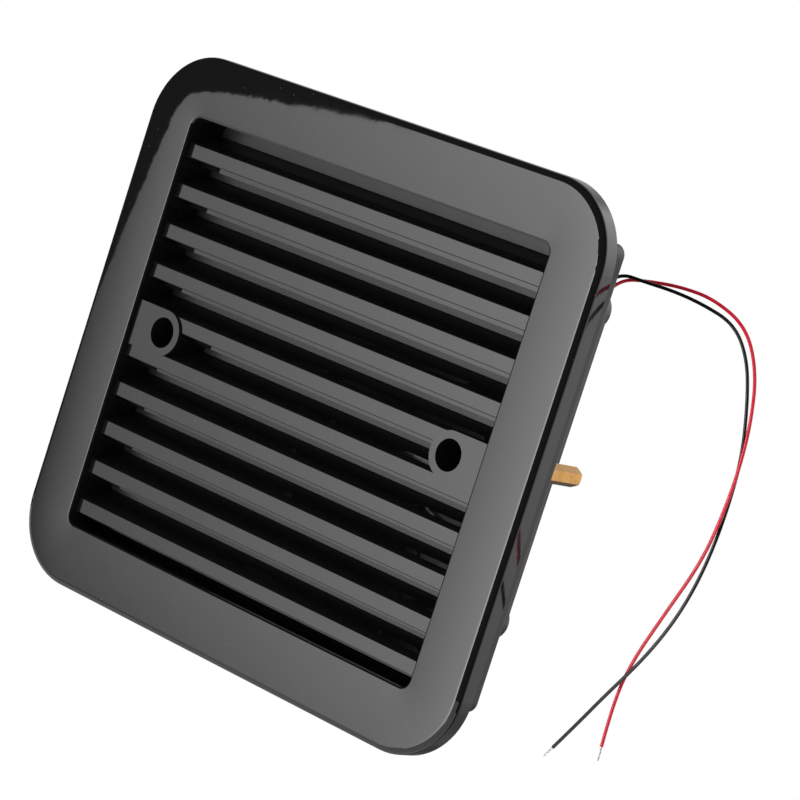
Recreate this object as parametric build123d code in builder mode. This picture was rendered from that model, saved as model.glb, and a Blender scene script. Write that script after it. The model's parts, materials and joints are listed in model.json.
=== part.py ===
from build123d import *
import math
import os

# Louvred side-wall vent with a 140 mm brushless fan behind it.
# The wall plane is Y = 0, the louvred face looks along -Y, and +Z is up.

# ---- driving dimensions, mm ----
bezel_width = 236.0
bezel_height = 217.0
bezel_depth = 8.0
bezel_corner = 29.0
bezel_edge = 2.5
bezel_skin = 2.8
opening_width = 188.0
opening_height = 168.0
opening_corner = 4.0
opening_edge = 0.8
duct_wall_x = 1.6
duct_wall_z = 2.0
duct_depth = 21.0

slat_count = 10
slat_pitch = 16.34
first_slat_top = 73.6
slat_recess = 3.2
slat_face = 5.8
slat_wall = 1.8
slat_blade_rise = 5.2
slat_blade_run = 15.3
slat_upstand = 11.2
slat_lip_radius = 0.45
baffle_setback = 8.8
baffle_wall = 1.5
baffle_drop = 8.15
slat_embed = 0.3

lug_recess = 2.2
lug_radius = 9.05
lug_span = 154.5
counterbore_radius = 6.07
counterbore_floor = 4.0
clearance_hole_radius = 2.25

housing_width = 195.4
housing_height = 180.6
housing_corner = 4.5
housing_wall_x = 1.9
housing_wall_z = 2.0
housing_floor = 2.4
housing_rear = 31.0
housing_flange_width = 214.0
housing_flange_height = 198.0
housing_flange_corner = 13.0
housing_flange_front = -4.3
housing_flange_thickness = 2.2
housing_back_edge = 1.2

housing_screw_x = 103.3
housing_screw_z = 94.6
housing_screw_step = 52.0
housing_screw_boss_radius = 3.2
housing_screw_pilot_radius = 1.2
housing_screw_clearance = 1.6
housing_screw_bite = 1.2
fan_screw_clearance = 2.6

fan_size = 140.0
fan_depth = 38.0
fan_flange = 5.0
fan_bore_radius = 67.0
fan_duct_radius = 69.3
fan_hole_spacing = 124.5
fan_hole_radius = 2.15
fan_boss_radius = 7.75
fan_boss_proud = 1.5
fan_mouth_rounding = 1.6
motor_base_radius = 30.0
motor_base_rim = 2.0
motor_base_floor = 2.5
tube_socket_radius = 7.0
tube_socket_height = 4.7
tube_radius = 5.0
tube_length = 22.6
tube_seat = 1.3
strut_angle = 36.0
strut_width = 5.0
lead_strut_width = 7.5

standoff_length = 40.0
standoff_flats = 7.0
standoff_thread_depth = 12.0
standoff_chamfer_along = 0.75
standoff_chamfer_in = 0.4
screw_m4_radius = 1.95
thread_m4_radius = 2.0

lead_radius = 0.65
conductor_radius = 0.38
tinned_length = 5.5
lead_gap = 1.5
lead_straight = 8.5
lead_channel_depth = 3.0
lead_channel_clearance = 0.05
lead_start_radius = 16.0

# ---- places worked out from them ----
front_y = -bezel_depth
skin_back_y = front_y + bezel_skin
slat_front_y = front_y + slat_recess
lug_front_y = front_y + lug_recess
housing_inner_y = housing_rear - housing_floor
fan_front_y = housing_rear
fan_rear_y = fan_front_y + fan_depth
base_front_y = fan_front_y + 0.8
base_back_y = base_front_y + motor_base_floor
tube_front_y = base_back_y - tube_seat
strut_back_y = fan_front_y + 6.0
lead_y = fan_front_y + 4.9
duct_back_y = front_y + duct_depth
counterbore_back_y = housing_inner_y - counterbore_floor
lug_root = opening_width / 2 + slat_embed
standoff_places = [(-lug_span / 2, 0), (lug_span / 2, 0)]
housing_screw_places = [(x, z) for x in (-housing_screw_x, housing_screw_x)
                        for z in (-housing_screw_step, housing_screw_step)]
housing_screw_places += [(x, z) for x in (-housing_screw_step, housing_screw_step)
                         for z in (-housing_screw_z, housing_screw_z)]
fan_hole_places = [(x, z) for x in (-fan_hole_spacing / 2, fan_hole_spacing / 2)
                   for z in (-fan_hole_spacing / 2, fan_hole_spacing / 2)]

os.makedirs("parts", exist_ok=True)


def upright(y):
    """A wall-parallel sketch plane at depth y; its x is X, its y is Z and its normal is -Y."""
    return Plane.XZ.offset(-y)


def save(part, node):
    """Label a finished piece and write its STEP file."""
    part.label = node
    export_step(part, f"parts/{node}.step")


def ring(y, length, outer_radius, inner_radius):
    """A plain tube round the fan axis, running back from depth y."""
    with BuildPart() as tube:
        with BuildSketch(upright(y)):
            Circle(outer_radius)
            Circle(inner_radius, mode=Mode.SUBTRACT)
        extrude(amount=-length)
    return tube.part


def screws(places, seat_y, toward, head_radius, head_height, shank_radius, shank_length):
    """Cross-recessed pan-head screws; toward is 1 for shanks that run back, -1 for forward."""
    slot_width = head_radius * 0.26
    with BuildPart() as group:
        with BuildSketch(upright(seat_y)):
            with Locations(*places):
                Circle(head_radius)
        extrude(amount=toward * head_height)
        rims = group.faces().filter_by(Axis.Y).sort_by(Axis.Y)
        crowns = rims[: len(places)] if toward > 0 else rims[-len(places):]
        fillet(crowns.edges(), head_height * 0.45)
        with BuildSketch(upright(seat_y)):
            with Locations(*places):
                Circle(shank_radius)
        extrude(amount=-toward * shank_length)
        with BuildSketch(upright(seat_y - toward * head_height)):
            with Locations(*places):
                Rectangle(head_radius, slot_width)
                Rectangle(slot_width, head_radius)
        extrude(amount=-toward * head_height * 0.6, mode=Mode.SUBTRACT)
    return group.part


def slat_points(top):
    """Outline of one weather slat in (Y, Z): front lip, rising blade, upstand and drip baffle."""
    slope = slat_blade_rise / slat_blade_run
    under = -slat_wall * math.sqrt(1 + slope * slope)
    y = slat_front_y
    back = slat_blade_run + slat_wall
    baffle_back = baffle_setback + baffle_wall
    return [
        (y, top),
        (y + slat_blade_run, top + slat_blade_rise),
        (y + slat_blade_run, top + slat_upstand),
        (y + back, top + slat_upstand),
        (y + back, top + back * slope + under),
        (y + baffle_back, top + baffle_back * slope + under),
        (y + baffle_back, top - baffle_drop),
        (y + baffle_setback, top - baffle_drop),
        (y + baffle_setback, top + baffle_setback * slope + under),
        (y + slat_wall, top + slat_wall * slope + under),
        (y + slat_wall, top - slat_face),
        (y, top - slat_face),
    ]


# ---- front grille: bezel, duct collar, ten slats and two screw lugs in one moulding ----
with BuildPart() as front_grille:
    with BuildSketch(upright(front_y)):
        RectangleRounded(bezel_width, bezel_height, bezel_corner)
    extrude(amount=-bezel_depth)
    fillet(front_grille.faces().sort_by(Axis.Y)[0].edges(), bezel_edge)
    with BuildSketch(upright(skin_back_y)):
        RectangleRounded(bezel_width - 2 * bezel_skin, bezel_height - 2 * bezel_skin, bezel_corner - bezel_skin)
    extrude(amount=-(bezel_depth - bezel_skin), mode=Mode.SUBTRACT)
    with BuildSketch(upright(skin_back_y - 1)):
        RectangleRounded(opening_width + 2 * duct_wall_x, opening_height + 2 * duct_wall_z,
                         opening_corner + duct_wall_x)
    extrude(amount=-(duct_back_y - skin_back_y + 1))
    with BuildSketch(upright(front_y)):
        RectangleRounded(opening_width, opening_height, opening_corner)
    extrude(amount=-duct_depth, mode=Mode.SUBTRACT)
    fillet(front_grille.faces().sort_by(Axis.Y)[0].inner_wires()[0].edges(), opening_edge)
    for index in range(slat_count):
        with BuildSketch(Plane.YZ.offset(-opening_width / 2 - slat_embed)) as slat:
            with BuildLine():
                Polyline(*slat_points(first_slat_top - index * slat_pitch), close=True)
            make_face()
            fillet(slat.vertices().sort_by(Axis.X)[:2], slat_lip_radius)
        extrude(amount=opening_width + 2 * slat_embed)
    with BuildSketch(upright(lug_front_y)):
        with Locations(*standoff_places):
            Circle(lug_radius)
        for side in (-1, 1):
            with Locations((side * (lug_span / 2 + lug_root) / 2, 0)):
                Rectangle(lug_root - lug_span / 2, 2 * lug_radius)
    extrude(amount=-(duct_back_y - lug_front_y))
    with BuildSketch(upright(skin_back_y)):
        with Locations(*housing_screw_places):
            Circle(housing_screw_boss_radius)
    extrude(amount=-(housing_flange_front - skin_back_y))
    with BuildSketch(upright(front_y)):
        with Locations(*standoff_places):
            Circle(counterbore_radius)
    extrude(amount=-duct_depth, mode=Mode.SUBTRACT)
    with BuildSketch(upright(front_y + housing_screw_bite)):
        with Locations(*housing_screw_places):
            Circle(housing_screw_pilot_radius)
    extrude(amount=-(housing_flange_front - front_y), mode=Mode.SUBTRACT)
save(front_grille.part, "front_grille")

# ---- fan housing: the box that enters the wall cut-out and carries the fan and the lug pillars ----
with BuildPart() as fan_housing:
    with BuildSketch(upright(housing_flange_front)):
        RectangleRounded(housing_width, housing_height, housing_corner)
    extrude(amount=-(housing_rear - housing_flange_front))
    fillet(fan_housing.faces().sort_by(Axis.Y)[-1].edges(), housing_back_edge)
    with BuildSketch(upright(housing_flange_front)):
        RectangleRounded(housing_flange_width, housing_flange_height, housing_flange_corner)
    extrude(amount=-housing_flange_thickness)
    with BuildSketch(upright(housing_flange_front)):
        RectangleRounded(housing_width - 2 * housing_wall_x, housing_height - 2 * housing_wall_z,
                         housing_corner - housing_wall_x)
    extrude(amount=-(housing_inner_y - housing_flange_front), mode=Mode.SUBTRACT)
    with BuildSketch(upright(duct_back_y)):
        with Locations(*standoff_places):
            Circle(lug_radius)
    extrude(amount=-(housing_inner_y - duct_back_y))
    with BuildSketch(upright(duct_back_y)):
        with Locations(*standoff_places):
            Circle(counterbore_radius)
    extrude(amount=-(counterbore_back_y - duct_back_y), mode=Mode.SUBTRACT)
    with BuildSketch(upright(counterbore_back_y)):
        with Locations(*standoff_places):
            Circle(clearance_hole_radius)
    extrude(amount=-(housing_rear - counterbore_back_y), mode=Mode.SUBTRACT)
    with BuildSketch(upright(housing_inner_y)):
        Circle(fan_bore_radius)
        with Locations(*fan_hole_places):
            Circle(fan_screw_clearance)
    extrude(amount=-housing_floor, mode=Mode.SUBTRACT)
    with BuildSketch(upright(housing_flange_front)):
        with Locations(*housing_screw_places):
            Circle(housing_screw_clearance)
    extrude(amount=-housing_flange_thickness, mode=Mode.SUBTRACT)
save(fan_housing.part, "fan_housing")

housing_screw_seat_y = housing_flange_front + housing_flange_thickness
save(screws(housing_screw_places, housing_screw_seat_y, -1, head_radius=2.7, head_height=1.6,
            shank_radius=1.19, shank_length=4.4), "housing_screws")
save(screws(fan_hole_places, housing_inner_y, 1, head_radius=4.3, head_height=2.6,
            shank_radius=2.13, shank_length=13.0), "fan_mounting_screws")
save(screws(standoff_places, counterbore_back_y, 1, head_radius=3.9, head_height=2.6,
            shank_radius=screw_m4_radius, shank_length=14.0), "cover_screws")

# ---- hexagonal brass stand-offs, one each side of the fan ----
for side, node in ((-1, "left_standoff"), (1, "right_standoff")):
    place = (side * lug_span / 2, 0)
    with BuildPart() as turned_blank:
        with BuildSketch(upright(housing_rear)):
            with Locations(place):
                Circle(standoff_flats / math.sqrt(3))
        extrude(amount=-standoff_length)
        chamfer(turned_blank.edges().filter_by(GeomType.CIRCLE), length=standoff_chamfer_in,
                length2=standoff_chamfer_along)
    with BuildPart() as standoff:
        with BuildSketch(upright(housing_rear)):
            with Locations(place):
                RegularPolygon(standoff_flats / math.sqrt(3), 6, rotation=30)
        extrude(amount=-standoff_length)
        add(turned_blank.part, mode=Mode.INTERSECT)
        for start in (housing_rear, housing_rear + standoff_length - standoff_thread_depth):
            with BuildSketch(upright(start)):
                with Locations(place):
                    Circle(thread_m4_radius)
            extrude(amount=-standoff_thread_depth, mode=Mode.SUBTRACT)
    save(standoff.part, node)

# ---- fan frame: square flanges, round duct, corner columns, struts and motor base ----
with BuildPart() as fan_frame:
    for flange_y in (fan_front_y, fan_rear_y - fan_flange):
        with BuildSketch(upright(flange_y)):
            RectangleRounded(fan_size, fan_size, fan_boss_radius)
        extrude(amount=-fan_flange)
    with BuildSketch(upright(fan_front_y)):
        Circle(fan_duct_radius)
    extrude(amount=-fan_depth)
    with BuildSketch(upright(fan_front_y)):
        with Locations(*fan_hole_places):
            Circle(fan_boss_radius)
    extrude(amount=-(fan_depth + fan_boss_proud))
    with BuildSketch(upright(fan_front_y)):
        Circle(fan_bore_radius)
    extrude(amount=-fan_depth, mode=Mode.SUBTRACT)
    mouth = fan_frame.edges().filter_by(GeomType.CIRCLE).filter_by(lambda e: abs(e.radius - fan_bore_radius) < 0.01)
    fillet(mouth.sort_by(Axis.Y)[-1], fan_mouth_rounding)
    with BuildSketch(upright(fan_front_y)):
        with Locations(*fan_hole_places):
            Circle(fan_hole_radius)
    extrude(amount=-(fan_depth + fan_boss_proud), mode=Mode.SUBTRACT)
    strut_start = motor_base_radius - motor_base_rim / 2
    strut_end = (fan_bore_radius + fan_duct_radius) / 2
    strut_length = strut_end - strut_start
    strut_middle = (strut_start + strut_end) / 2
    with BuildSketch(upright(base_front_y)):
        with PolarLocations(strut_middle, 4, start_angle=strut_angle):
            Rectangle(strut_length, strut_width)
        with PolarLocations(strut_middle, 1, start_angle=strut_angle):
            Rectangle(strut_length, lead_strut_width)
    extrude(amount=-(strut_back_y - base_front_y))
    with BuildSketch(upright(base_front_y)):
        Circle(motor_base_radius)
    extrude(amount=-motor_base_floor)
    with BuildSketch(upright(base_back_y)):
        Circle(motor_base_radius)
        Circle(motor_base_radius - motor_base_rim, mode=Mode.SUBTRACT)
    extrude(amount=-(strut_back_y - base_back_y))
    with BuildSketch(upright(base_back_y)):
        Circle(tube_socket_radius)
    extrude(amount=-tube_socket_height)
    with BuildSketch(upright(tube_front_y)):
        Circle(tube_radius)
    extrude(amount=-(tube_seat + tube_socket_height), mode=Mode.SUBTRACT)
    with BuildSketch(upright(lead_y - lead_radius - lead_channel_clearance)):
        with PolarLocations(fan_size / 2, 1, start_angle=strut_angle):
            Rectangle(fan_size - 2 * (motor_base_radius - motor_base_rim - 2),
                      lead_gap + 2 * lead_radius + 4 * lead_channel_clearance)
    extrude(amount=-lead_channel_depth, mode=Mode.SUBTRACT)
save(fan_frame.part, "fan_frame")

# ---- bearing tube and the two ball bearings ----
bearing_width = 4.0
bearing_bore = 1.5
bearing_outer = 4.0
outer_race_bore = 3.3
inner_race_radius = 2.2
ball_pitch_radius = 2.75
groove_radius = 0.8
ball_radius = 0.77
ball_count = 7
front_bearing_y = fan_front_y + 5.4
rear_bearing_y = fan_front_y + 20.4

save(ring(tube_front_y, tube_length, tube_radius, bearing_outer), "bearing_tube")

for place, bearing_y in (("front", front_bearing_y), ("rear", rear_bearing_y)):
    ball_y = bearing_y + bearing_width / 2
    with BuildPart() as ball_track:
        with BuildSketch(Plane.XY):
            with Locations((ball_pitch_radius, ball_y)):
                Circle(groove_radius)
        revolve(axis=Axis.Y)
    with BuildPart() as outer_race:
        add(ring(bearing_y, bearing_width, bearing_outer, outer_race_bore))
        add(ball_track.part, mode=Mode.SUBTRACT)
    save(outer_race.part, f"{place}_bearing_outer_race")
    with BuildPart() as inner_race:
        add(ring(bearing_y, bearing_width, inner_race_radius, bearing_bore))
        add(ball_track.part, mode=Mode.SUBTRACT)
    save(inner_race.part, f"{place}_bearing_inner_race")
    with BuildPart() as balls:
        with Locations(upright(ball_y)):
            with PolarLocations(ball_pitch_radius, ball_count):
                Sphere(ball_radius)
    save(balls.part, f"{place}_bearing_balls")

# ---- shaft with its clip, and the preload spring behind the rear bearing ----
clip_y = front_bearing_y - 0.6
clip_width = 0.5
clip_radius = 2.4
clip_clearance = 0.05
groove_depth = 0.3
shaft_front_y = fan_front_y + 3.6
shaft_rear_y = fan_front_y + 32.0
with BuildPart() as shaft:
    with BuildSketch(upright(shaft_front_y)):
        Circle(bearing_bore)
    extrude(amount=-(shaft_rear_y - shaft_front_y))
    chamfer(shaft.edges(), 0.25)
    with BuildSketch(upright(clip_y)):
        Circle(bearing_bore + 0.5)
        Circle(bearing_bore - groove_depth, mode=Mode.SUBTRACT)
    extrude(amount=-clip_width, mode=Mode.SUBTRACT)
save(shaft.part, "shaft")

with BuildPart() as retaining_clip:
    with BuildSketch(upright(clip_y + clip_clearance)):
        Circle(clip_radius)
        Circle(bearing_bore - groove_depth, mode=Mode.SUBTRACT)
        with Locations((0, -clip_radius)):
            Rectangle(bearing_bore, 2 * clip_radius, mode=Mode.SUBTRACT)
    extrude(amount=-(clip_width - 2 * clip_clearance))
save(retaining_clip.part, "retaining_clip")

spring_wire_radius = 0.2
spring_radius = 1.95
spring_front_y = rear_bearing_y + bearing_width + spring_wire_radius
spring_length = 3.0
with BuildPart() as preload_spring:
    with BuildLine() as coil:
        Helix(pitch=spring_length / 3, height=spring_length, radius=spring_radius,
              center=(0, spring_front_y, 0), direction=(0, 1, 0))
    with BuildSketch(Plane(origin=coil.line @ 0, z_dir=coil.line % 0)):
        Circle(spring_wire_radius)
    sweep(is_frenet=True)
save(preload_spring.part, "preload_spring")

# ---- stator: laminated four-pole core, two insulators, four coils ----
core_y = fan_front_y + 12.0
core_length = 8.0
core_radius = 22.0
insulator = 1.4
insulator_grow = 0.6
core_hub_radius = 7.6
shoe_depth = 3.6
pole_gap = 6.4
coil_inner = 9.5
coil_length = 7.4
coil_build = 2.2
coil_clearance = 0.02
arm_width = 5.6
arm_length = 14.0


def stator_outline(grow):
    """Four-pole lamination shape; grow widens the arms for the insulators."""
    Circle(core_hub_radius + grow)
    with PolarLocations(core_radius - arm_length / 2 - shoe_depth / 3, 4, start_angle=45):
        Rectangle(arm_length, arm_width + 2 * grow)
    with BuildSketch(mode=Mode.PRIVATE) as shoes:
        Circle(core_radius)
        Circle(core_radius - shoe_depth, mode=Mode.SUBTRACT)
        with PolarLocations(core_radius, 4):
            Rectangle(2 * arm_width, pole_gap, mode=Mode.SUBTRACT)
    add(shoes.sketch)


with BuildPart() as stator_core:
    with BuildSketch(upright(core_y)):
        stator_outline(0)
        Circle(tube_radius, mode=Mode.SUBTRACT)
    extrude(amount=-core_length)
save(stator_core.part, "stator_core")

for node, insulator_y in (("stator_insulator_front", core_y - insulator),
                          ("stator_insulator_rear", core_y + core_length)):
    with BuildPart() as insulator_part:
        with BuildSketch(upright(insulator_y)):
            stator_outline(insulator_grow)
            Circle(tube_radius, mode=Mode.SUBTRACT)
        extrude(amount=-insulator)
    save(insulator_part.part, node)

former_width = arm_width + 2 * (insulator_grow + coil_clearance)
former_length = core_length + 2 * (insulator + coil_clearance)
with BuildPart() as stator_coils:
    for pole in range(4):
        angle = math.radians(45 + 90 * pole)
        spoke = Vector(math.cos(angle), 0, math.sin(angle))
        inner_end = spoke * coil_inner + Vector(0, core_y + core_length / 2, 0)
        outward = Plane(origin=inner_end, x_dir=(-spoke.Z, 0, spoke.X), z_dir=spoke)
        with BuildSketch(outward):
            RectangleRounded(former_width + 2 * coil_build, former_length + 2 * coil_build, coil_build)
            Rectangle(former_width, former_length, mode=Mode.SUBTRACT)
        extrude(amount=coil_length)
save(stator_coils.part, "stator_coils")

# ---- circuit board in the motor base, and what is soldered to it ----
board_y = fan_front_y + 5.6
board_thickness = 1.2
board_radius = 21.5
board_back_y = board_y + board_thickness
chip_place = (-13.0, 5.0)
chip_width = 4.0
chip_length = 5.0
chip_height = 1.5
with BuildPart() as circuit_board:
    with BuildSketch(upright(board_y)):
        Circle(board_radius)
        Circle(tube_socket_radius + 0.2, mode=Mode.SUBTRACT)
    extrude(amount=-board_thickness)
save(circuit_board.part, "circuit_board")

with BuildPart() as driver_chip:
    with BuildSketch(upright(board_back_y)):
        with Locations(chip_place):
            Rectangle(chip_width, chip_length)
    extrude(amount=-chip_height)
    chamfer(driver_chip.faces().sort_by(Axis.Y)[-1].edges(), chip_height / 6)
    with BuildSketch(upright(board_back_y)):
        with Locations(chip_place):
            with GridLocations(chip_width + 1.2, 1.27, 2, 4):
                Rectangle(1.2, 0.45)
    extrude(amount=-chip_height / 3)
save(driver_chip.part, "driver_chip")

hall_place = (0.0, 19.0)
hall_width = 3.0
hall_depth = 1.5
hall_height = 2.6
with BuildPart() as hall_sensor:
    with BuildSketch(upright(board_back_y)):
        with Locations(hall_place):
            Rectangle(hall_width, hall_depth)
    extrude(amount=-hall_height)
save(hall_sensor.part, "hall_sensor")

capacitor_place = (17.8, 0.0)
capacitor_radius = 2.5
capacitor_height = 2.9
with BuildPart() as filter_capacitor:
    with BuildSketch(upright(board_back_y)):
        with Locations(capacitor_place):
            Circle(capacitor_radius)
    extrude(amount=-capacitor_height)
    fillet(filter_capacitor.faces().sort_by(Axis.Y)[-1].edges(), capacitor_radius / 5)
save(filter_capacitor.part, "filter_capacitor")

resistor_places = [(-6.0, -13.0), (-2.5, -14.0), (1.0, -14.5), (-14.0, -3.0)]
resistor_width = 1.3
resistor_length = 2.0
resistor_height = 0.55
with BuildPart() as chip_resistors:
    with BuildSketch(upright(board_back_y)):
        with Locations(*resistor_places):
            Rectangle(resistor_width, resistor_length)
    extrude(amount=-resistor_height)
save(chip_resistors.part, "chip_resistors")

# ---- rotor: magnet ring, steel yoke and the bladed hub ----
magnet_y = fan_front_y + 10.0
hub_front_y = fan_front_y + 7.5
hub_rear_y = fan_front_y + 35.0
hub_radius = 30.0
yoke_radius = 27.0
magnet_radius = 25.6
magnet_length = 12.0
air_gap = 0.7
yoke_length = 24.0
hub_face = 2.0
hub_edge = 2.5
hub_boss_radius = 5.0
hub_boss_height = 5.0
hub_rib_width = 1.4
hub_label_radius = 21.5
hub_label_recess = 0.4
blade_count = 7
blade_tip_radius = 65.3
blade_front_y = fan_front_y + 9.0
blade_rear_y = fan_front_y + 36.0

save(ring(magnet_y, magnet_length, magnet_radius, core_radius + air_gap), "ring_magnet")
save(ring(magnet_y - 1, yoke_length, yoke_radius, magnet_radius), "rotor_yoke")


def blade_section(radius, half_sweep, thickness, camber):
    """One curved blade section on the plane X = radius; its x is Y and its y is Z."""
    front = Vector(blade_front_y, -half_sweep)
    rear = Vector(blade_rear_y, half_sweep)
    chord = (rear - front).normalized()
    across = Vector(-chord.Y, chord.X)
    middle = (front + rear) * 0.5
    nose = across * (thickness * 0.35)
    with BuildSketch(Plane(origin=(radius, 0, 0), x_dir=(0, 1, 0), z_dir=(1, 0, 0))) as section:
        with BuildLine():
            ThreePointArc(front + nose, middle + across * (camber + thickness / 2), rear + nose * 0.6)
            Line(rear + nose * 0.6, rear - nose * 0.6)
            ThreePointArc(rear - nose * 0.6, middle + across * (camber - thickness / 2), front - nose)
            Line(front - nose, front + nose)
        make_face()
    return section.sketch


with BuildPart() as blade:
    add(blade_section(28.4, 8.5, 2.4, 2.4))
    add(blade_section(46.0, 16.0, 2.0, 3.0))
    add(blade_section(68.5, 23.0, 1.6, 3.4))
    loft()
    with BuildSketch(upright(blade_front_y - 1)):
        Circle(blade_tip_radius)
    extrude(amount=-(blade_rear_y - blade_front_y + 2), mode=Mode.INTERSECT)

hub_inner_y = hub_rear_y - hub_face
hub_boss_y = hub_inner_y - hub_boss_height
hub_rib_length = yoke_radius - hub_boss_radius - 1.2
with BuildPart() as impeller:
    with BuildSketch(upright(hub_front_y)):
        Circle(hub_radius)
    extrude(amount=-(hub_rear_y - hub_front_y))
    fillet(impeller.faces().sort_by(Axis.Y)[-1].edges(), hub_edge)
    for index in range(blade_count):
        add(blade.part.rotate(Axis.Y, index * 360 / blade_count))
    with BuildSketch(upright(hub_front_y)):
        Circle(yoke_radius)
    extrude(amount=-(hub_inner_y - hub_front_y), mode=Mode.SUBTRACT)
    with BuildSketch(upright(hub_boss_y)):
        Circle(hub_boss_radius)
        with PolarLocations(hub_boss_radius + hub_rib_length / 2 - 0.4, 6):
            Rectangle(hub_rib_length, hub_rib_width)
    extrude(amount=-(hub_boss_height + hub_face / 10))
    with BuildSketch(upright(hub_boss_y)):
        Circle(bearing_bore)
    extrude(amount=-(shaft_rear_y - hub_boss_y), mode=Mode.SUBTRACT)
    with BuildSketch(upright(hub_rear_y - hub_label_recess)):
        Circle(hub_label_radius)
    extrude(amount=-hub_label_recess, mode=Mode.SUBTRACT)
save(impeller.part, "impeller")

# ---- supply leads: the stretch held in the strut's channel, and the free stretch ----
strut_direction = Vector(math.cos(math.radians(strut_angle)), 0, math.sin(math.radians(strut_angle)))
across_strut = Vector(-strut_direction.Z, 0, strut_direction.X)
exit_distance = fan_size / 2 / strut_direction.X


def lead_exit(side):
    """The point where a lead leaves the frame's channel; side is 1 for the upper lead."""
    return Vector(0, lead_y, 0) + strut_direction * exit_distance + across_strut * (side * lead_gap / 2)


for node, side in (("hub_lead_black", 1), ("hub_lead_red", -1)):
    end = lead_exit(side)
    start = end - strut_direction * (exit_distance - lead_start_radius)
    with BuildPart() as hub_lead:
        with BuildSketch(Plane(origin=start, z_dir=strut_direction)):
            Circle(lead_radius)
        extrude(amount=(end - start).length)
    save(hub_lead.part, node)

black_route = [
    (82.5, 39.3, 68.4), (88.0, 42.6, 79.9), (101.0, 43.0, 79.9), (114.0, 43.0, 80.3),
    (128.0, 43.0, 79.4), (143.1, 43.5, 76.6), (152.2, 44.5, 67.1), (158.0, 45.0, 52.9), (163.2, 45.5, 32.6),
    (164.6, 45.0, 11.2), (164.0, 44.0, -9.1), (160.4, 43.0, -28.1), (152.9, 42.5, -46.4), (141.4, 42.5, -65.6),
    (134.1, 43.0, -78.3), (126.5, 43.4, -90.9),
]
red_route = [
    (83.4, 40.5, 65.6), (87.6, 45.4, 77.6), (99.0, 46.5, 80.4), (114.7, 45.9, 82.5),
    (130.7, 45.0, 82.4), (148.7, 43.5, 77.0), (159.3, 42.5, 63.6), (164.6, 41.5, 46.5), (166.2, 41.5, 29.0),
    (165.0, 42.5, 11.2), (161.7, 44.0, -7.1), (153.4, 45.0, -29.3), (146.0, 45.5, -50.6), (144.4, 45.0, -66.9),
    (145.9, 44.5, -83.1),
]


def corner_radii(points):
    """The largest tangent arc that the two runs at each corner allow."""
    radii = []
    for before, corner, after in zip(points, points[1:], points[2:]):
        first = Vector(corner) - Vector(before)
        second = Vector(after) - Vector(corner)
        half_turn = math.radians(first.get_angle(second)) / 2
        radii.append(0.45 * min(first.length, second.length) / math.tan(half_turn))
    return radii


for node, tip_node, side, route in (("lead_black", "black_tip", 1, black_route),
                                    ("lead_red", "red_tip", -1, red_route)):
    straight_out = lead_exit(side) + strut_direction * lead_straight
    points = [tuple(lead_exit(side)), tuple(straight_out)] + route
    radii = corner_radii(points)
    with BuildPart() as lead:
        with BuildLine() as lead_path:
            FilletPolyline(*points, radius=radii)
        with BuildSketch(Plane(origin=lead_path.line @ 0, z_dir=lead_path.line % 0)):
            Circle(lead_radius)
        sweep()
    save(lead.part, node)
    length = sum(edge.length for edge in lead_path.edges())
    ratio = lead.part.volume / (math.pi * lead_radius ** 2 * length)
    print(node, "length", round(length, 1), "smallest radius", round(min(radii), 1), "volume ratio", round(ratio, 4))
    last_run = (Vector(points[-1]) - Vector(points[-2])).normalized()
    with BuildPart() as tip:
        with BuildSketch(Plane(origin=points[-1], z_dir=last_run)):
            Circle(conductor_radius)
        extrude(amount=tinned_length)
        fillet(tip.faces().sort_by(Axis.Z)[0].edges(), conductor_radius * 0.4)
    save(tip.part, tip_node)
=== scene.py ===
import json
import math

import bpy
from mathutils import Matrix, Vector


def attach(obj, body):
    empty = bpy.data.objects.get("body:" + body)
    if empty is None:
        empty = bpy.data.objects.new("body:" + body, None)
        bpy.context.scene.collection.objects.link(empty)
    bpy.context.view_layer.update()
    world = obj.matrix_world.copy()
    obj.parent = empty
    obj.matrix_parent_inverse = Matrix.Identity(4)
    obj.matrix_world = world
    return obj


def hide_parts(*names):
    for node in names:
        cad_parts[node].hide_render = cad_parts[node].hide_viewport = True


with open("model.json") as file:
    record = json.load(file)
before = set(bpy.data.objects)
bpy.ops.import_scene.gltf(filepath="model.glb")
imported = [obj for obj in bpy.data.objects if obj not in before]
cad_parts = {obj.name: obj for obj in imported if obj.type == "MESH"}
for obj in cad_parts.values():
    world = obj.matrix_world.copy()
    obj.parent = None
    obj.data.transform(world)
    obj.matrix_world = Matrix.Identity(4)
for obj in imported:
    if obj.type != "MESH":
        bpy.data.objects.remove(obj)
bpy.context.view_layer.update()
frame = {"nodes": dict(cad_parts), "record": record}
NODES = frame["nodes"]

# Lengths are in metres and places are in the frame's coordinates, if nothing else is said.
CAMERA_PLACE = Vector((0.7950, -0.9068, 0.1307))
CAMERA_AIM = Vector((0.033, 0.0122, 0.0093))
CAMERA_ROLL = math.radians(17.9)
CAMERA_LENS_MM = 145.1

BEZEL_HALF_WIDTH = 0.118
BEZEL_HALF_HEIGHT = 0.1085
BEZEL_CORNER = 0.029
BEZEL_FACE_Y = -0.008
BORDER_WIDTH = 0.024
CROWN_SLOPE = 0.05

LEAD_DIAMETER = 0.0013
BLACK_LENGTH = 0.2708
RED_LENGTH = 0.2634
BARE_LENGTH = 0.0055
STRAND_RADIUS = 0.000125


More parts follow.
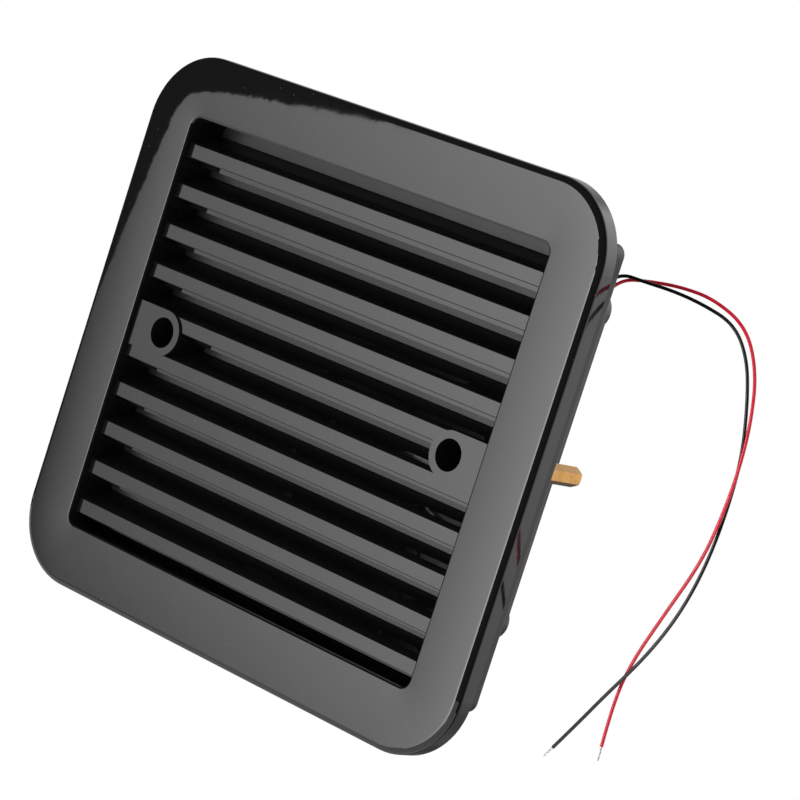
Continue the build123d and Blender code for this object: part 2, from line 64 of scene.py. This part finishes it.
# ---------------------------------------------------------------- camera
def make_camera():
    """A long lens from the right and a little above, rolled as a hand-held product shot is."""
    data = bpy.data.cameras.new("camera")
    data.lens = CAMERA_LENS_MM
    data.sensor_width = 36.0
    data.clip_start = 0.05
    data.clip_end = 20.0
    camera = add_to_scene(bpy.data.objects.new("camera", data))
    camera.location = CAMERA_PLACE
    toward = (CAMERA_AIM - CAMERA_PLACE).to_track_quat("-Z", "Y")
    camera.rotation_mode = "QUATERNION"
    camera.rotation_quaternion = toward @ Matrix.Rotation(CAMERA_ROLL, 4, "Z").to_quaternion()
    bpy.context.scene.camera = camera


def add_to_scene(obj):
    bpy.context.scene.collection.objects.link(obj)
    return obj


# ---------------------------------------------------------------- shader helpers
def add_math(tree, operation, first, second=0.0):
    """A math node on two numbers or sockets."""
    made = tree.nodes.new("ShaderNodeMath")
    made.operation = operation
    for socket, value in zip(made.inputs, (first, second)):
        if isinstance(value, (int, float)):
            socket.default_value = value
        else:
            tree.links.new(value, socket)
    return made.outputs["Value"]


def add_range(tree, value, low, high, from_low=0.0, from_high=1.0, smooth=False):
    """Carries from_low to low and from_high to high, and holds those two values outside."""
    made = tree.nodes.new("ShaderNodeMapRange")
    made.interpolation_type = "SMOOTHSTEP" if smooth else "LINEAR"
    made.inputs["From Min"].default_value = from_low
    made.inputs["From Max"].default_value = from_high
    made.inputs["To Min"].default_value = low
    made.inputs["To Max"].default_value = high
    tree.links.new(value, made.inputs["Value"])
    return made.outputs["Result"]


class Shader:
    """A small wrapper that builds one node material on a Principled shader."""

    def __init__(self, name, color, roughness, metallic=0.0, ior=1.5):
        self.material = bpy.data.materials.new(name)
        self.material.use_nodes = True
        self.tree = self.material.node_tree
        self.main = self.tree.nodes["Principled BSDF"]
        self.main.inputs["Base Color"].default_value = (*color, 1)
        self.main.inputs["Roughness"].default_value = roughness
        self.main.inputs["Metallic"].default_value = metallic
        self.main.inputs["IOR"].default_value = ior
        self.color = color
        self.normal = None

    def node(self, kind, **values):
        """A node with each value set on the input or the property of that name."""
        made = self.tree.nodes.new(kind)
        for key, value in values.items():
            if key in made.inputs:
                made.inputs[key].default_value = value
            else:
                setattr(made, key, value)
        return made

    def link(self, source, target):
        self.tree.links.new(source, target)

    def place(self, stretch=(1, 1, 1)):
        """Object coordinates in metres, scaled along the axes."""
        coordinate = self.node("ShaderNodeTexCoord")
        mapping = self.node("ShaderNodeMapping", Scale=stretch)
        self.link(coordinate.outputs["Object"], mapping.inputs["Vector"])
        return mapping.outputs["Vector"]

    def noise(self, size, detail=3.0, stretch=(1, 1, 1)):
        """Noise whose blobs are about size metres across."""
        made = self.node("ShaderNodeTexNoise", Scale=1.0 / size, Detail=detail, Roughness=0.5)
        self.link(self.place(stretch), made.inputs["Vector"])
        return made.outputs["Fac"]

    def ramp(self, value, low, high, from_low=0.0, from_high=1.0, smooth=False):
        return add_range(self.tree, value, low, high, from_low, from_high, smooth)

    def math(self, operation, first, second=0.0):
        return add_math(self.tree, operation, first, second)

    def axes(self):
        """The object's own X, Y and Z in metres."""
        split = self.node("ShaderNodeSeparateXYZ")
        self.link(self.place(), split.inputs["Vector"])
        return split.outputs["X"], split.outputs["Y"], split.outputs["Z"]

    def rim_distance(self, half_x, half_z, radius):
        """Signed distance to a rounded rectangle in the XZ plane, negative inside it."""
        x, _, z = self.axes()
        over_x = self.math("SUBTRACT", self.math("ABSOLUTE", x), half_x - radius)
        over_z = self.math("SUBTRACT", self.math("ABSOLUTE", z), half_z - radius)
        clear_x = self.math("MAXIMUM", over_x, 0.0)
        clear_z = self.math("MAXIMUM", over_z, 0.0)
        square_x = self.math("MULTIPLY", clear_x, clear_x)
        square_z = self.math("MULTIPLY", clear_z, clear_z)
        outside = self.math("SQRT", self.math("ADD", square_x, square_z))
        inside = self.math("MINIMUM", self.math("MAXIMUM", over_x, over_z), 0.0)
        return self.math("SUBTRACT", self.math("ADD", outside, inside), radius)

    def vary_color(self, value, other):
        """Mixes the base colour towards another by a 0 to 1 value."""
        made = self.node("ShaderNodeMix", data_type="RGBA")
        made.inputs["A"].default_value = (*self.color, 1)
        made.inputs["B"].default_value = (*other, 1)
        self.link(value, made.inputs["Factor"])
        self.link(made.outputs["Result"], self.main.inputs["Base Color"])

    def vary_roughness(self, value, low, high):
        """Runs the roughness from low to high over the middle of a noise."""
        self.link(self.ramp(value, low, high, 0.3, 0.7), self.main.inputs["Roughness"])

    def bump(self, value, depth):
        """Adds a height map of the given depth in metres to the surface normal."""
        made = self.node("ShaderNodeBump", Strength=1.0, Distance=depth)
        self.link(value, made.inputs["Height"])
        if self.normal is not None:
            self.link(self.normal, made.inputs["Normal"])
        self.normal = made.outputs["Normal"]
        self.link(self.normal, self.main.inputs["Normal"])


# ---------------------------------------------------------------- materials
def gloss_abs():
    """Piano-black moulded ABS: crowned border, slight orange peel, flow marks and a little dust."""
    s = Shader("gloss_black_abs", (0.0065, 0.0065, 0.007), 0.09, ior=1.53)
    _, y, _ = s.axes()

    # Polished in front, and satin further in, behind the louvres' front edges.
    polish = s.ramp(s.noise(0.018, 4.0), 0.025, 0.055, 0.3, 0.7)
    satin = s.ramp(y, 0.0, 0.42, 0.006, 0.010)
    s.link(s.math("ADD", polish, satin), s.main.inputs["Roughness"])

    # The border is a low parabola across its width, 0.3 mm high, on the bezel's front face only.
    rim = s.rim_distance(BEZEL_HALF_WIDTH, BEZEL_HALF_HEIGHT, BEZEL_CORNER)
    off_middle = s.math("ADD", rim, BORDER_WIDTH / 2)
    square = s.math("MULTIPLY", off_middle, off_middle)
    crown = s.math("MULTIPLY", square, -CROWN_SLOPE / BORDER_WIDTH)
    on_face = s.ramp(y, 1.0, 0.0, BEZEL_FACE_Y + 0.0002, BEZEL_FACE_Y + 0.0010)
    s.bump(s.math("MULTIPLY", crown, on_face), 1.0)

    # Mould waves, flow marks and orange peel.
    for size, depth in ((0.040, 0.00010), (0.009, 0.000022), (0.0011, 0.0000016)):
        s.bump(s.noise(size, 2.0), depth)

    dust = s.node("ShaderNodeTexVoronoi", Scale=180.0, feature="F1")
    s.link(s.place(), dust.inputs["Vector"])
    specks = s.ramp(dust.outputs["Distance"], 1.0, 0.0, 0.0, 0.055, smooth=True)
    s.vary_color(specks, (0.12, 0.12, 0.12))
    return s.material


def matt_pbt():
    """Spark-eroded matt black moulding of the fan."""
    s = Shader("matt_black_pbt", (0.012, 0.012, 0.0125), 0.38, ior=1.55)
    s.vary_roughness(s.noise(0.006), 0.30, 0.46)
    s.vary_color(s.ramp(s.noise(0.012), 0.0, 0.5, 0.4, 0.75), (0.022, 0.022, 0.022))
    s.bump(s.noise(0.00035, 2.0), 0.000012)
    return s.material


def brass(name, drawn_along, roughness):
    """Bright brass bar with fine drawing lines along one axis, by its index, and slight tarnish."""
    s = Shader(name, (0.56, 0.31, 0.10), roughness, metallic=1.0)
    stretch = tuple(0.03 if axis == drawn_along else 1.0 for axis in range(3))
    lines = s.noise(0.0003, stretch=stretch)
    s.vary_roughness(lines, roughness * 0.75, roughness * 1.6)
    s.bump(lines, 0.000012)
    s.vary_color(s.ramp(s.noise(0.004), 0.0, 0.65, 0.4, 0.8), (0.34, 0.16, 0.05))
    return s.material


def steel(name, color, roughness):
    """Plated or ground metal with a fine grain and darker patches."""
    s = Shader(name, color, roughness, metallic=1.0)
    grain = s.noise(0.0005)
    s.vary_roughness(grain, roughness * 0.7, roughness * 1.4)
    s.bump(grain, 0.000006)
    s.vary_color(s.ramp(s.noise(0.003, 2.0), 0.0, 0.5, 0.45, 0.8), tuple(c * 0.7 for c in color))
    return s.material


def plastic(name, color, roughness, grain=0.0008):
    """A plain moulded or dipped plastic with gentle colour and gloss variation."""
    s = Shader(name, color, roughness)
    s.vary_roughness(s.noise(grain * 6), roughness * 0.8, roughness * 1.25)
    s.vary_color(s.ramp(s.noise(grain * 10), 0.0, 0.6, 0.4, 0.8), tuple(c * 0.7 for c in color))
    s.bump(s.noise(grain, 2.0), 0.000006)
    return s.material


def laminations():
    """Stack of punched electrical steel sheets, edges showing as fine layers."""
    s = Shader("silicon_steel", (0.30, 0.31, 0.33), 0.4, metallic=1.0)
    wave = s.node("ShaderNodeTexWave", Scale=320.0, bands_direction="Y", Distortion=0.0)
    s.link(s.place(), wave.inputs["Vector"])
    s.bump(wave.outputs["Fac"], 0.00008)
    s.vary_color(s.ramp(wave.outputs["Fac"], 0.0, 0.8), (0.12, 0.10, 0.09))
    return s.material


def winding():
    """Enamelled copper wire laid in turns."""
    s = Shader("enamelled_copper", (0.50, 0.17, 0.05), 0.3, metallic=0.9)
    wave = s.node("ShaderNodeTexWave", Scale=900.0, Distortion=0.4)
    s.link(s.place(), wave.inputs["Vector"])
    s.bump(wave.outputs["Fac"], 0.00015)
    return s.material


def laminate():
    """Green solder mask with faint tracks."""
    s = Shader("green_laminate", (0.01, 0.11, 0.04), 0.3)
    cells = s.node("ShaderNodeTexBrick", Scale=260.0)
    s.link(s.place(), cells.inputs["Vector"])
    s.vary_color(s.ramp(cells.outputs["Fac"], 0.0, 0.6), (0.02, 0.19, 0.07))
    s.bump(cells.outputs["Fac"], 0.00002)
    return s.material


def make_materials():
    """Every material, by the record's slot name."""
    return {
        "gloss_black_abs": gloss_abs(),
        "matt_black_pbt": matt_pbt(),
        "brass": brass("brass", 1, 0.15),
        "turned_brass": brass("turned_brass", 0, 0.3),
        "black_zinc_steel": steel("black_zinc_steel", (0.06, 0.06, 0.065), 0.35),
        "zinc_steel": steel("zinc_steel", (0.60, 0.61, 0.63), 0.3),
        "bearing_steel": steel("bearing_steel", (0.62, 0.62, 0.64), 0.16),
        "spring_steel": steel("spring_steel", (0.42, 0.43, 0.45), 0.28),
        "silicon_steel": laminations(),
        "cream_nylon": plastic("cream_nylon", (0.66, 0.58, 0.42), 0.45),
        "enamelled_copper": winding(),
        "green_laminate": laminate(),
        "component_epoxy": plastic("component_epoxy", (0.02, 0.02, 0.021), 0.5),
        "capacitor_can": steel("capacitor_can", (0.72, 0.73, 0.74), 0.25),
        "ferrite": plastic("ferrite", (0.045, 0.042, 0.042), 0.55),
        "black_pvc": plastic("black_pvc", (0.006, 0.006, 0.0065), 0.25, grain=0.0005),
        "red_pvc": plastic("red_pvc", (0.66, 0.010, 0.035), 0.25, grain=0.0005),
        "tinned_copper": steel("tinned_copper", (0.74, 0.72, 0.68), 0.3),
    }


MATERIALS = make_materials()


def dress_cad_nodes():
    """Gives every CAD node its slot's material."""
    for row in frame["record"]["subparts"]:
        mesh = NODES[row["node"]].data
        mesh.materials.clear()
        mesh.materials.append(MATERIALS[row["material_slot"]])


# ---------------------------------------------------------------- leads
# The routes are the CAD's own, from the fan's strut to where the bare strands begin.
BLACK_POINTS = [
    (0.06956, 0.0359, 0.05147), (0.07644, 0.0359, 0.05647), (0.0825, 0.0393, 0.0684),
    (0.0880, 0.0426, 0.0799), (0.1010, 0.0430, 0.0799), (0.1140, 0.0430, 0.0803),
    (0.1280, 0.0430, 0.0794), (0.1431, 0.0435, 0.0766), (0.1522, 0.0445, 0.0671),
    (0.1580, 0.0450, 0.0529), (0.1632, 0.0455, 0.0326), (0.1646, 0.0450, 0.0112),
    (0.1640, 0.0440, -0.0091), (0.1604, 0.0430, -0.0281), (0.1529, 0.0425, -0.0464),
    (0.1414, 0.0425, -0.0656), (0.1341, 0.0430, -0.0783), (0.1265, 0.0434, -0.0909),
]
RED_POINTS = [
    (0.07044, 0.0359, 0.05025), (0.07732, 0.0359, 0.05525), (0.0834, 0.0405, 0.0656),
    (0.0876, 0.0454, 0.0776), (0.0990, 0.0465, 0.0804), (0.1147, 0.0459, 0.0825),
    (0.1307, 0.0450, 0.0824), (0.1487, 0.0435, 0.0770), (0.1593, 0.0425, 0.0636),
    (0.1646, 0.0415, 0.0465), (0.1662, 0.0415, 0.0290), (0.1650, 0.0425, 0.0112),
    (0.1617, 0.0440, -0.0071), (0.1534, 0.0450, -0.0293), (0.1460, 0.0455, -0.0506),
    (0.1444, 0.0450, -0.0669), (0.1459, 0.0445, -0.0831),
]


def round_curve(name, radius, resolution, material):
    """An empty 3-D curve whose splines become round, capped wires."""
    data = bpy.data.curves.new(name, "CURVE")
    data.dimensions = "3D"
    data.bevel_depth = radius
    data.bevel_resolution = resolution
    data.use_fill_caps = True
    data.materials.append(material)
    return data


def add_spline(data, kind, places):
    spline = data.splines.new(kind)
    spline.points.add(len(places) - 1)
    for target, place in zip(spline.points, places):
        target.co = (*place, 1)
    return spline


def lead_curve(name, points, material):
    """One smooth NURBS line through the route, as thick as the sleeve."""
    data = round_curve(name, LEAD_DIAMETER / 2, 6, material)
    data.resolution_u = 12
    spline = add_spline(data, "NURBS", points)
    spline.order_u = 3
    spline.use_endpoint_u = True
    return add_to_scene(bpy.data.objects.new(name, data))


def strand_tip(name, points):
    """Bare tinned strands at a lead's end: one core wire and six twisted round it."""
    data = round_curve(name, STRAND_RADIUS, 3, MATERIALS["tinned_copper"])
    end = Vector(points[-1])
    along = (end - Vector(points[-2])).normalized()
    side = along.cross(Vector((0, 1, 0))).normalized()
    over = along.cross(side)
    outer_strands = 6
    steps = 14
    twist_turns = 0.75
    sunk_in_sleeve = 0.0004
    for index in range(1 + outer_strands):
        radius = 0.0 if index == 0 else STRAND_RADIUS * 2
        length = BARE_LENGTH * (1.0 - 0.03 * (index % 3))
        places = []
        for step in range(steps + 1):
            share = step / steps
            turn = math.tau * (index / outer_strands + share * twist_turns)
            off_core = (side * math.cos(turn) + over * math.sin(turn)) * radius
            places.append(end + along * (length * share - sunk_in_sleeve) + off_core)
        add_spline(data, "POLY", places)
    return add_to_scene(bpy.data.objects.new(name, data))


def make_leads():
    """A sleeve and its bare strands for each lead, in place of the CAD's plain tubes."""
    for name, points, slot, length in (("black", BLACK_POINTS, "black_pvc", BLACK_LENGTH),
                                       ("red", RED_POINTS, "red_pvc", RED_LENGTH)):
        sleeve = lead_curve(f"{name}_lead_sleeve", points, MATERIALS[slot])
        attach(sleeve, "housing")
        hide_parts(f"lead_{name}")
        tip = strand_tip(f"{name}_lead_strands", points)
        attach(tip, "housing")
        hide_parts(f"{name}_tip")


# ---------------------------------------------------------------- studio
def glowing_panel(name, low, high):
    """A rectangle in its own XY plane, with its node tree and the emission node that lights it."""
    mesh = bpy.data.meshes.new(name)
    corners = [(low[0], low[1], 0), (high[0], low[1], 0), (high[0], high[1], 0), (low[0], high[1], 0)]
    mesh.from_pydata(corners, [], [(0, 1, 2, 3)])
    material = bpy.data.materials.new(name)
    material.use_nodes = True
    tree = material.node_tree
    tree.nodes.remove(tree.nodes["Principled BSDF"])
    emission = tree.nodes.new("ShaderNodeEmission")
    tree.links.new(emission.outputs[0], tree.nodes["Material Output"].inputs["Surface"])
    mesh.materials.append(material)
    return add_to_scene(bpy.data.objects.new(name, mesh)), tree, emission


def round_softbox(name, centre, facing, radius, middle, to_left, to_top):
    """A round emitting panel that only lights and reflects. middle is its strength at the centre, and
    to_left and to_top say how much that changes per metre."""
    panel, tree, emission = glowing_panel(name, (-radius, -radius), (radius, radius))
    left = Vector((0, 0, 1)).cross(facing).normalized()
    up = facing.cross(left)
    panel.matrix_world = Matrix.Translation(centre) @ Matrix((left, up, facing)).transposed().to_4x4()
    panel.visible_camera = False
    panel.visible_shadow = False
    coordinate = tree.nodes.new("ShaderNodeTexCoord")
    split = tree.nodes.new("ShaderNodeSeparateXYZ")
    tree.links.new(coordinate.outputs["Object"], split.inputs["Vector"])
    across, along = split.outputs["X"], split.outputs["Y"]
    squares = add_math(tree, "ADD", add_math(tree, "MULTIPLY", across, across),
                       add_math(tree, "MULTIPLY", along, along))
    from_centre = add_math(tree, "SQRT", squares)
    edge_width = 0.006
    disc = add_range(tree, from_centre, 1.0, 0.0, radius - edge_width, radius, smooth=True)
    slope = add_math(tree, "ADD", add_math(tree, "MULTIPLY", across, to_left),
                     add_math(tree, "MULTIPLY", along, to_top))
    least = 0.5
    strength = add_math(tree, "MAXIMUM", add_math(tree, "ADD", slope, middle), least)
    tree.links.new(add_math(tree, "MULTIPLY", strength, disc), emission.inputs["Strength"])


def make_world():
    """White behind the part as the lens sees it, even fill for matt surfaces, and for reflections a
    dim room with a lighter wall at the back right."""
    world = bpy.data.worlds.new("studio")
    bpy.context.scene.world = world
    world.use_nodes = True
    tree = world.node_tree
    coordinate = tree.nodes.new("ShaderNodeTexCoord")
    split = tree.nodes.new("ShaderNodeSeparateXYZ")
    tree.links.new(coordinate.outputs["Generated"], split.inputs["Vector"])
    x, y, z = split.outputs["X"], split.outputs["Y"], split.outputs["Z"]
    by_height = add_range(tree, z, 0.35, 2.3, -0.55, 0.45, smooth=True)
    by_side = add_range(tree, x, 0.28, 1.0, -0.25, 0.1, smooth=True)
    by_depth = add_range(tree, y, 0.0, 1.0, 0.2, 0.7, smooth=True)
    wall = add_math(tree, "MULTIPLY", add_math(tree, "MULTIPLY", by_height, by_side), by_depth)
    dim = 0.02
    fill = 0.65
    path = tree.nodes.new("ShaderNodeLightPath")
    matt = add_math(tree, "MULTIPLY", path.outputs["Is Diffuse Ray"], fill)
    glossy = add_math(tree, "MULTIPLY", path.outputs["Is Glossy Ray"], add_math(tree, "ADD", dim, wall))
    total = add_math(tree, "ADD", path.outputs["Is Camera Ray"], add_math(tree, "ADD", matt, glossy))
    background = tree.nodes["Background"]
    tree.links.new(total, background.inputs["Strength"])
    background.inputs["Color"].default_value = (1, 1, 1, 1)


def make_floor():
    """A plain white floor well below the part, as bright as the backdrop."""
    floor, _, _ = glowing_panel("floor", (-3.0, -3.2), (1.6, 0.3))
    floor.location = (0, 0, -0.75)


def make_studio():
    """A big round soft panel at the left front over a white floor."""
    bpy.context.scene.view_settings.view_transform = "Standard"
    make_world()
    make_floor()
    front = Vector((-0.74, -0.92, -0.05))
    right = Vector((-front.y, front.x, 0)).normalized()
    centre = front + right * 0.35 + Vector((0, 0, -0.45))
    round_softbox("round_softbox", centre, -front.normalized(), radius=0.765,
                  middle=4.0, to_left=-6.0, to_top=1.6)


make_camera()
make_studio()
dress_cad_nodes()
make_leads()
